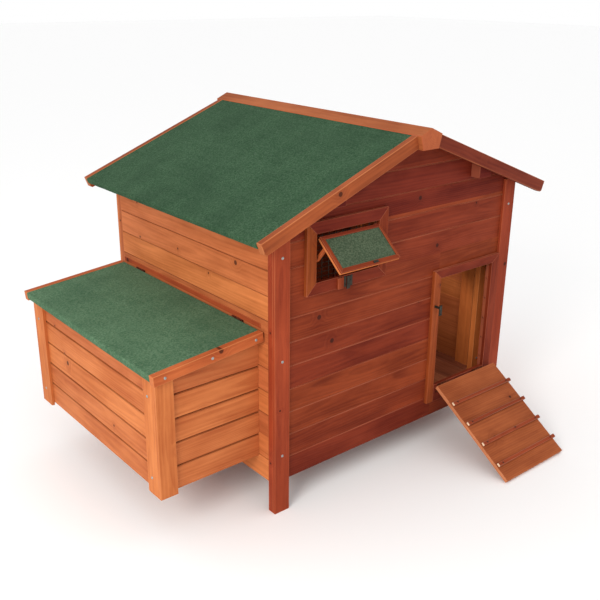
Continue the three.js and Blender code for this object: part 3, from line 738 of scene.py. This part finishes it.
for side in ("left", "right"):
    node = f"roof_{side}_felt"
    sign = 1 if side == "right" else -1
    outline = [(sign * p.x, p.z) for p in cad_outline(node, Y)]
    ridge = max(outline, key=lambda p: p[1])
    corner = max(outline, key=lambda p: p[0])
    lip = min(outline, key=lambda p: p[1] - 0.2 * p[0])
    low, high = limits(node)
    line = [(sign * x, z) for x, z in rounded([ridge, corner, lip])]
    felt_sheet(node, line, (low.y, high.y))

# ---------- floor and perch ----------
low, high = limits("floor")
FLOOR_BOARD = 92
FLOOR_GAP = 0.5
floor_boards = []
edge_x = low.x
while edge_x < high.x - 1:
    far = min(edge_x + FLOOR_BOARD, high.x)
    floor_boards.append(Solid(
        block((edge_x + FLOOR_GAP, low.y, low.z), (far - FLOOR_GAP, high.y, high.z)),
        f"floor{round(edge_x)}", Y, Z, 1.0))
    edge_x = far
# The outer floor boards stop short of the corner legs.
POST_EDGE_X = 460
FLOOR_END = 397 - FLOOR_GAP
for solid in (floor_boards[0], floor_boards[-1]):
    for vertex in solid.mesh.verts:
        if abs(vertex.co.x) > POST_EDGE_X:
            vertex.co.y = max(-FLOOR_END, min(FLOOR_END, vertex.co.y))
stand_for("floor", floor_boards)
stand_for("perch", [cad_solid("perch", Y, Z, SHEET_EDGE)])

# Blocks that hold the perch, and battens nailed inside the walls.
perch_low, perch_high = limits("perch")
PERCH_BLOCK = {"side": 22, "height": 46, "clear": 1, "depth": 19}
BATTEN_EDGE = 1.2
LIT_BATTEN = 1.7
ROOM_TOP = 850
# Limits in X and in Y of each upright batten.
BATTENS = (
    ((446, 488), (-359, -338)),
    ((470, 488), (-318, -262)),
    ((470, 488), (262, 318)),
    ((-488, -470), (-392, -366)),
    ((-488, -470), (374, 392)),
)
house_battens = []
for sign in (-1, 1):
    y = sorted((sign * (perch_high.y - PERCH_BLOCK["clear"]),
                sign * (perch_high.y - PERCH_BLOCK["depth"])))
    house_battens.append(Solid(
        block((perch_low.x - PERCH_BLOCK["side"], y[0], perch_low.z - PERCH_BLOCK["height"]),
              (perch_high.x + PERCH_BLOCK["side"], y[1], perch_low.z - PERCH_BLOCK["clear"])),
        f"perch_block{sign}", X, Y, BATTEN_EDGE))
floor_top = limits("floor")[1].z
for x, y in BATTENS:
    house_battens.append(Solid(
        block((x[0], y[0], floor_top), (x[1] - GAP, y[1], ROOM_TOP)),
        f"batten{x}{y}", Z, -Y, BATTEN_EDGE, tone=LIT_BATTEN if x[0] > 0 else None))
piece("inside_battens", house_battens, "stained_fir_light", "house")

# Cleats under the barge boards, against the gable walls.
CLEAT_X = (278, 332)
CLEAT_Z = (893, 970)
CLEAT_DEPTH = 34
# The cleats are toned dark as painted shade under the barge boards.
CLEAT_TONE = -0.9
CLEAT_CLEAR = 0.2
GABLE_Y = 418.4
cleats = []
for x_sign in (-1, 1):
    for y_sign in (-1, 1):
        x = sorted(x_sign * place for place in CLEAT_X)
        wall_y = y_sign * GABLE_Y
        y = sorted((wall_y, wall_y + y_sign * CLEAT_DEPTH))
        mesh = block((x[0], y[0], CLEAT_Z[0]), (x[1], y[1], CLEAT_Z[1]))
        up = ROOF_UP if x_sign > 0 else flipped(ROOF_UP)
        foot = UNDER_DECK if x_sign > 0 else flipped(UNDER_DECK)
        cut(mesh, foot - up * CLEAT_CLEAR, up)
        cleats.append(Solid(mesh, f"cleat{x_sign}{y_sign}", X, Y, 1.0, tone=CLEAT_TONE))
piece("barge_cleats", cleats, "stained_fir_dark", "house")


# ---------- mitred frames ----------


TOP_HIGHLIGHT = 1.5          # painted highlight on the top faces of trims, where light falls from above
TOP_FACING = 0.6


def mitred(low, high, inner_low, inner_high, depth, seed, tones=None, sides="LRTB", gap=0.12):
    """Frame pieces between an outer and an inner rectangle in X and Z, mitred at the corners."""
    (ox0, oz0), (ox1, oz1) = low, high
    (ix0, iz0), (ix1, iz1) = inner_low, inner_high
    outlines = {
        "L": ([(ox0, oz0 + gap), (ix0, iz0 + gap), (ix0, iz1 - gap), (ox0, oz1 - gap)], Z),
        "R": ([(ix1, iz0 + gap), (ox1, oz0 + gap), (ox1, oz1 - gap), (ix1, iz1 - gap)], Z),
        "T": ([(ix0 + gap, iz1), (ix1 - gap, iz1), (ox1 - gap, oz1), (ox0 + gap, oz1)], X),
        "B": ([(ox0 + gap, oz0), (ox1 - gap, oz0), (ix1 - gap, iz0), (ix0 + gap, iz0)], X),
    }
    made = []
    for side in sides:
        outline, along = outlines[side]
        rail = Solid(prism(outline, "XZ", depth), seed + side, along, -Y, EDGE,
                     tone=tones and tones[side])
        # Painted highlight on the top rail's upward faces.
        for i, face in enumerate(rail.mesh.faces):
            if side == "T" and face.normal.z > TOP_FACING:
                rail.edge[i] = TOP_HIGHLIGHT
        made.append(rail)
    return made


low, high = limits("window_trim")
WINDOW_TRIM = 34
# Per-rail tones paint light and shade: the left rail, which faces the key light, is lighter, and the right and top
# rails are darker.
stand_for("window_trim", mitred(
    (low.x, low.z), (high.x, high.z),
    (low.x + WINDOW_TRIM, low.z + WINDOW_TRIM), (high.x - WINDOW_TRIM, high.z - WINDOW_TRIM),
    (low.y, high.y), "window_trim", {"L": 1.9, "R": 0.6, "T": -0.4, "B": 0.1}))

left_low, left_high = limits("door_trim_left")
right_low, right_high = limits("door_trim_right")
top_low, top_high = limits("door_trim_top")
# Per-rail tones paint light and shade: the left rail is lighter, and the right and top rails are darker.
door = mitred(
    (left_low.x, left_low.z), (right_high.x, top_high.z),
    (left_high.x, left_low.z), (right_low.x, top_low.z),
    (left_low.y, left_high.y), "door_trim", {"L": 1.6, "R": 0.2, "T": 0.1}, "LRT")
for node, solid in zip(("door_trim_left", "door_trim_right", "door_trim_top"), door):
    stand_for(node, [solid])
stand_for("door_sill", [cad_solid("door_sill", X, -Y)])

# ---------- wire mesh ----------
low, high = limits("window_mesh")
COLUMNS, ROWS = 10, 12
WIRE = 0.8
WIRE_SIDES = 8
wires = []
middle_y = (low.y + high.y) / 2
for count, axis in ((COLUMNS, 0), (ROWS, 2)):
    step = (high[axis] - low[axis] - 2 * WIRE) / count
    for i in range(count + 1):
        at = low[axis] + WIRE + i * step
        if axis == 0:
            start, direction, length = Vector((at, middle_y - WIRE / 2, low.z)), Z, high.z - low.z
        else:
            start, direction, length = Vector((low.x, middle_y + WIRE / 2, at)), X, high.x - low.x
        wires.append(Solid(lathe([(WIRE, 0), (WIRE, length)], start, direction, WIRE_SIDES),
                           f"wire{axis}{i}", direction, Y, 0))
stand_for("window_mesh", wires, DARK_ZINC)

# ---------- shutter ----------
SHUTTER_ANGLE = -JOINTS["shutter_hinge"]["range_deg"][1]
shutter_pivot = joint_at("shutter_hinge")
shutter_frame = Matrix.Translation((0, shutter_pivot.y, shutter_pivot.z)) @ Matrix.Rotation(
    math.radians(SHUTTER_ANGLE), 4, "X")
board_low, board_high = limits_in("shutter_board", shutter_frame)
border_low, border_high = limits_in("shutter_border", shutter_frame)
felt_low, felt_high = limits_in("shutter_felt", shutter_frame)
SHUTTER_BOARD_TONE = 1.4
stand_for("shutter_board", [Solid(
    block(board_low, board_high), "shutter_board", X, -Y, SHEET_EDGE,
    tone=SHUTTER_BOARD_TONE).moved(shutter_frame)], MATERIALS["stained_fir_light"])
# Per-rail tones paint shade: the top rail is toned darkest.
stand_for("shutter_border", [rail.moved(shutter_frame) for rail in mitred(
    (border_low.x, border_low.z), (border_high.x, border_high.z),
    (felt_low.x - GAP, felt_low.z - GAP), (felt_high.x + GAP, felt_high.z + GAP),
    (border_low.y, border_high.y), "shutter_border", {"L": 0.9, "R": 0.9, "T": 0.1, "B": 0.7})])
PANEL_RIPPLE = 0.3


def flat_felt(node, low, high, matrix, across=26, up=16):
    """A small panel of felt with a slightly uneven face."""
    mesh = bmesh.new()
    skins = []
    for y in (low.y, high.y):
        skin = []
        for j in range(up + 1):
            z = low.z + (high.z - low.z) * j / up
            row = []
            for i in range(across + 1):
                x = low.x + (high.x - low.x) * i / across
                wave = abs(noise.noise(Vector((x, 0, z)) * HEM_SIZE))
                ripple = PANEL_RIPPLE * wave if y == low.y else 0.0
                row.append(mesh.verts.new((x, y + ripple, z)))
            skin.append(row)
        skins.append(skin)
    front, back = skins
    for j in range(up):
        for i in range(across):
            mesh.faces.new((front[j][i], front[j][i + 1], front[j + 1][i + 1], front[j + 1][i]))
            mesh.faces.new((back[j][i], back[j + 1][i], back[j + 1][i + 1], back[j][i + 1]))
        for i in (0, across):
            mesh.faces.new((front[j][i], front[j + 1][i], back[j + 1][i], back[j][i]))
    for i in range(across):
        for j in (0, up):
            mesh.faces.new((front[j][i], front[j][i + 1], back[j][i + 1], back[j][i]))
    made = stand_for(node, [Solid(mesh, node, X, Z, 0).moved(matrix)], WINDOW_FELT)
    made.data.shade_smooth()
    made.data.set_sharp_from_angle(angle=SMOOTH)


flat_felt("shutter_felt", felt_low, felt_high, shutter_frame)

stay_turn = math.radians(JOINTS["stay_pivot"]["range_deg"][1] + SHUTTER_ANGLE)
stay_along = Matrix.Rotation(stay_turn, 3, "X") @ Z
STAY_TONE = 1.6
stand_for("window_stay", [cad_solid("window_stay", stay_along, X, 1.0, STAY_TONE)], LEG_WOOD)

# ---------- nest box ----------
low, high = limits("nest_front_wall")
NEST_BOTTOM = low.z
NEST_JOINT = NEST_BOTTOM + PLANK_PITCH
lid_board = limits("nest_lid_board")
LID_ANGLE = math.atan(0.097)    # the lid's fall over its run
LID_DOWN = Vector((-math.cos(LID_ANGLE), 0, -math.sin(LID_ANGLE)))
LID_UP = Vector((-math.sin(LID_ANGLE), 0, math.cos(LID_ANGLE)))
near_high = limits("nest_near_wall")[1]
wall_top = Vector((near_high.x, 0, near_high.z))
stand_for("nest_front_wall",
          boarding("nest_front_wall", "X", -1, "Y", NEST_JOINT, joint=OPEN_JOINT), NEST_WOOD)
for node, sign in (("nest_near_wall", -1), ("nest_far_wall", 1)):
    stand_for(node, boarding(node, "Y", sign, "X", NEST_JOINT, trims=[(wall_top, LID_UP)],
                             joint=OPEN_JOINT), NEST_WOOD)

NEST_BOARD = 10
NEST_POST_EDGE = 1.1
for node, sign in (("nest_near_post", 1), ("nest_far_post", -1)):
    low, high = limits(node)
    near = sign > 0
    face_y = (low.y, low.y + NEST_BOARD) if near else (high.y - NEST_BOARD, high.y)
    rest_y = (face_y[1] + SEAM, high.y) if near else (low.y, face_y[0] - SEAM)
    stand_for(node, [
        Solid(block((low.x, face_y[0], low.z), (high.x, face_y[1], high.z)),
              node + "side", Z, -Y if near else Y, NEST_POST_EDGE, tone=0.85),
        Solid(block((low.x, rest_y[0], low.z), (low.x + NEST_BOARD, rest_y[1], high.z)),
              node + "front", Z, -X, NEST_POST_EDGE, tone=0.95),
    ], NEST_WOOD)
stand_for("nest_floor", [cad_solid("nest_floor", Y, Z)])
stand_for("nest_divider", [cad_solid("nest_divider", X, Y)], NEST_WOOD)

LID_BATTEN_EDGE, LID_BATTEN_TONE = 1.6, 0.7
stand_for("nest_lid_board", [cad_solid("nest_lid_board", Y, LID_UP)])
for node in ("nest_lid_near_batten", "nest_lid_far_batten"):
    stand_for(node, [cad_solid(node, LID_DOWN, -Y, LID_BATTEN_EDGE, LID_BATTEN_TONE)])
lid_points = [(p.x, p.z) for p in cad_outline("nest_lid_felt", Y)]
hinge_end = max(lid_points, key=lambda p: p[1])
front_corner = min(lid_points, key=lambda p: p[0] - 0.4 * p[1])
lip_end = min(lid_points, key=lambda p: p[1])
low, high = limits("nest_lid_felt")
felt_sheet("nest_lid_felt", rounded([hinge_end, front_corner, lip_end]), (low.y, high.y),
           LID_FELT)

# Thin strip that closes the gap between the wall and the back of the lid.
lid_pivot = joint_at("nest_lid_hinge")
wall_x = limits("left_wall_upper")[0].x
STRIP = {"face": 2.4, "bottom": 2.5, "top": 17}
piece("lid_weather_strip", [Solid(
    block((wall_x - STRIP["face"], lid_board[0].y, lid_pivot.z + STRIP["bottom"]),
          (wall_x - SEAM, lid_board[1].y, lid_pivot.z + STRIP["top"])),
    "lid_weather_strip", Y, -X, 0.7, tone=1.0)], "stained_fir_dark", "house", material=LEG_WOOD)

# ---------- ramp ----------
RAMP_ANGLE = math.radians(JOINTS["ramp_hinge"]["range_deg"][1])
ramp_turn = Matrix.Rotation(RAMP_ANGLE, 3, "X")
RAMP_TOP = ramp_turn @ Y
RAMP_TONE = 0.6
RAMP_BATTEN_EDGE, RAMP_BATTEN_TONE = 1.6, 0.5
BATTEN_WEAR = 0.2
RAW_END = 2.1           # the battens' left ends were cut after staining
LEFT_FACING = -0.6
RAMP_BATTENS = (1, 2, 3, 4)
stand_for("ramp_board", [cad_solid("ramp_board", X, RAMP_TOP, 1.0, RAMP_TONE)])
for number in RAMP_BATTENS:
    batten = cad_solid(
        f"ramp_batten_{number}", X, RAMP_TOP, RAMP_BATTEN_EDGE, RAMP_BATTEN_TONE)
    batten.edge = [BATTEN_WEAR * value for value in batten.edge]
    batten.end = [RAW_END if face.normal.x < LEFT_FACING else 0.0 for face in batten.mesh.faces]
    stand_for(f"ramp_batten_{number}", [batten], BATTEN_WOOD)

# ---------- fittings ----------
HINGE_EDGE = 0.2
POP_HOLE_BUTTON_EDGE = 0.5
WINDOW_BUTTON_EDGE = 0.6
for node in ("ramp_hinge_left", "ramp_hinge_right", "nest_lid_hinge_near", "nest_lid_hinge_far"):
    stand_for(node, [cad_solid(node, X, Z, HINGE_EDGE)], STAINED_ZINC)
stand_for("pop_hole_button", [cad_solid("pop_hole_button", Z, Y, POP_HOLE_BUTTON_EDGE)], DARK_ZINC)
stand_for("window_button", [cad_solid("window_button", Z, Y, WINDOW_BUTTON_EDGE)], DARK_ZINC)

# Radius and height above the face, from the rim of each head to its middle.
SCREW = [(4.3, -0.6), (4.3, 0.1), (4.0, 0.7), (3.0, 1.3), (1.7, 1.5), (1.3, 0.8), (0.3, 0.5)]
NAIL = [(2.2, -0.5), (2.2, 0.2), (1.8, 0.6), (0.5, 0.7)]


def fixings(name, body, profile, places, material=None):
    solids = [Solid(lathe(profile, Vector(place), direction), f"{name}{i}", direction, Y
                    if abs(direction.y) < 0.5 else X, 0)
              for i, (place, direction) in enumerate(places)]
    made = piece(name, solids, "galvanised_steel", body, material=material)
    made.data.shade_smooth()


LEG_SCREW_X, LEG_SCREW_Y = 473.5, 427
LEFT_SCREWS_Z = (187, 482, 779)
RIGHT_SCREWS_Z = (779,)
NEST_SCREW_X = -834
NEST_SCREWS_Y = (-321, 356)
NEST_SCREWS_Z = (207, 451)
BATTEN_SCREW = (470, -359, 199)
house_screws = []
for y_sign in (-1, 1):
    for x_sign in (-1, 1):
        for z in RIGHT_SCREWS_Z if x_sign > 0 else LEFT_SCREWS_Z:
            house_screws.append(((x_sign * LEG_SCREW_X, y_sign * LEG_SCREW_Y, z), Y * y_sign))
for z in NEST_SCREWS_Z:
    for y in NEST_SCREWS_Y:
        house_screws.append(((NEST_SCREW_X, y, z), -X))
house_screws.append((BATTEN_SCREW, -Y))
fixings("house_screws", "house", SCREW, house_screws)

lid_side = limits("nest_lid_near_batten")[0].y
lid_far = limits("nest_lid_far_batten")[1].y
LID_SCREWS = ((-814.5, 521), (-671, 534), (-530, 548))
fixings("lid_screws", "nest_lid", SCREW, [
    place for x, z in LID_SCREWS
    for place in (((x, lid_side, z), -Y), ((x, lid_far, z), Y))])

NAIL_RISE = 5.0          # from the middle of a batten to its face
NAIL_LEFT, NAIL_RIGHT = 20, 24
ramp_nails = []
for number in RAMP_BATTENS:
    low, high = limits(f"ramp_batten_{number}")
    centre = (low + high) / 2
    top = centre + RAMP_TOP * NAIL_RISE
    for x in (low.x + NAIL_LEFT, high.x - NAIL_RIGHT):
        ramp_nails.append((Vector((x, top.y, top.z)), RAMP_TOP))
fixings("ramp_nails", "ramp", NAIL, ramp_nails, DARK_ZINC)

# Wooden stop and keeper plates on the window's bottom trim, and the lug on the shutter's rail.
TRIM_CLEAR = 0.2
TRIM_Z = (652, 684)
STOP_X, STOP_DEPTH = (-283, -263), 7
KEEPER_DEPTH, KEEPER_EDGE = 1.2, 0.3
KEEPERS = (("keeper_a", (-257, -249)), ("keeper_b", (-233, -225)))
trim_face = limits("window_trim")[0].y
piece("window_stop", [Solid(
    block((STOP_X[0], trim_face - STOP_DEPTH, TRIM_Z[0]),
          (STOP_X[1], trim_face - TRIM_CLEAR, TRIM_Z[1])),
    "window_stop", Z, -Y, 1.0, tone=0.9)], "stained_fir_dark", "house")
piece("window_keeper", [
    Solid(block((x[0], trim_face - KEEPER_DEPTH, TRIM_Z[0]),
                (x[1], trim_face - TRIM_CLEAR, TRIM_Z[1])), seed, Z, Y, KEEPER_EDGE)
    for seed, x in KEEPERS], "galvanised_steel", "house", material=DARK_ZINC)
HASP_EDGE = 0.4
HASP_TOP = 4
# Limits in X, height above the rail's face, and reach below the rail's middle.
HASP = (("hasp_a", (-228, -221), 2.2, 4), ("hasp_b", (-220, -209), 1.4, 3))
rail_z = (border_low.z + felt_low.z) / 2
piece("shutter_hasp", [
    Solid(block((x[0], -rise, rail_z - reach), (x[1], -SEAM, rail_z + HASP_TOP)),
          seed, X, Y, HASP_EDGE).moved(shutter_frame)
    for seed, x, rise, reach in HASP], "galvanised_steel", "shutter", material=DARK_ZINC)

# ---------- stage, light and camera ----------
STAGE = 30.0
STAGE_COLOUR = (0.97, 0.97, 0.97, 1)
STAGE_ROUGHNESS = 0.9
STUDIO_COLOUR = (1.0, 1.0, 1.0, 1)
STUDIO_STRENGTH = 1.0
floor_material = Shader("stage_floor")
floor_material.principled.inputs["Base Color"].default_value = STAGE_COLOUR
floor_material.principled.inputs["Roughness"].default_value = STAGE_ROUGHNESS
stage_mesh = bpy.data.meshes.new("stage_floor")
stage_mesh.from_pydata(
    [(-STAGE, -STAGE, 0), (STAGE, -STAGE, 0), (STAGE, STAGE, 0), (-STAGE, STAGE, 0)],
    [], [(0, 1, 2, 3)])
stage_floor = bpy.data.objects.new("stage_floor", stage_mesh)
stage_floor.data.materials.append(floor_material.material)
bpy.context.scene.collection.objects.link(stage_floor)

world = bpy.data.worlds.new("studio")
world.use_nodes = True
world.node_tree.nodes["Background"].inputs[0].default_value = STUDIO_COLOUR
world.node_tree.nodes["Background"].inputs[1].default_value = STUDIO_STRENGTH
bpy.context.scene.world = world
bpy.context.scene.view_settings.view_transform = "Standard"


def soft_light(name, place, target, size, power, colour):
    lamp = bpy.data.lights.new(name, "AREA")
    lamp.shape = "DISK"
    lamp.size = size
    lamp.energy = power
    lamp.color = colour
    holder = bpy.data.objects.new(name, lamp)
    holder.location = place
    holder.rotation_euler = (Vector(target) - Vector(place)).to_track_quat("-Z", "Y").to_euler()
    holder.visible_camera = False
    bpy.context.scene.collection.objects.link(holder)


soft_light("key", place=(-3.36, -1.6, 2.3), target=(0, 0, 0.4), size=1.6, power=74,
           colour=(1.0, 0.97, 0.92))
soft_light("room_fill", place=(0.42, -0.12, 0.5), target=(0.5, 0.25, 0.15), size=0.2, power=0.3,
           colour=(1.0, 0.84, 0.76))

CAMERA_PLACE = HOUSE + Vector((-1.75335, -2.03314, 1.4445))
CAMERA_FORWARD = Vector((0.59868, 0.71780, -0.35546))
CAMERA_ROLL = math.radians(0.59)
SENSOR = 36.0
FOCAL_PIXELS = 829.211
IMAGE_WIDTH = 600
camera_data = bpy.data.cameras.new("camera")
camera_data.sensor_width = SENSOR
camera_data.lens = SENSOR * FOCAL_PIXELS / IMAGE_WIDTH
camera = bpy.data.objects.new("camera", camera_data)
look = CAMERA_FORWARD.to_track_quat("-Z", "Y").to_matrix().to_4x4()
camera.matrix_world = Matrix.Translation(CAMERA_PLACE) @ look @ Matrix.Rotation(CAMERA_ROLL, 4, "Z")
bpy.context.scene.collection.objects.link(camera)
bpy.context.scene.camera = camera
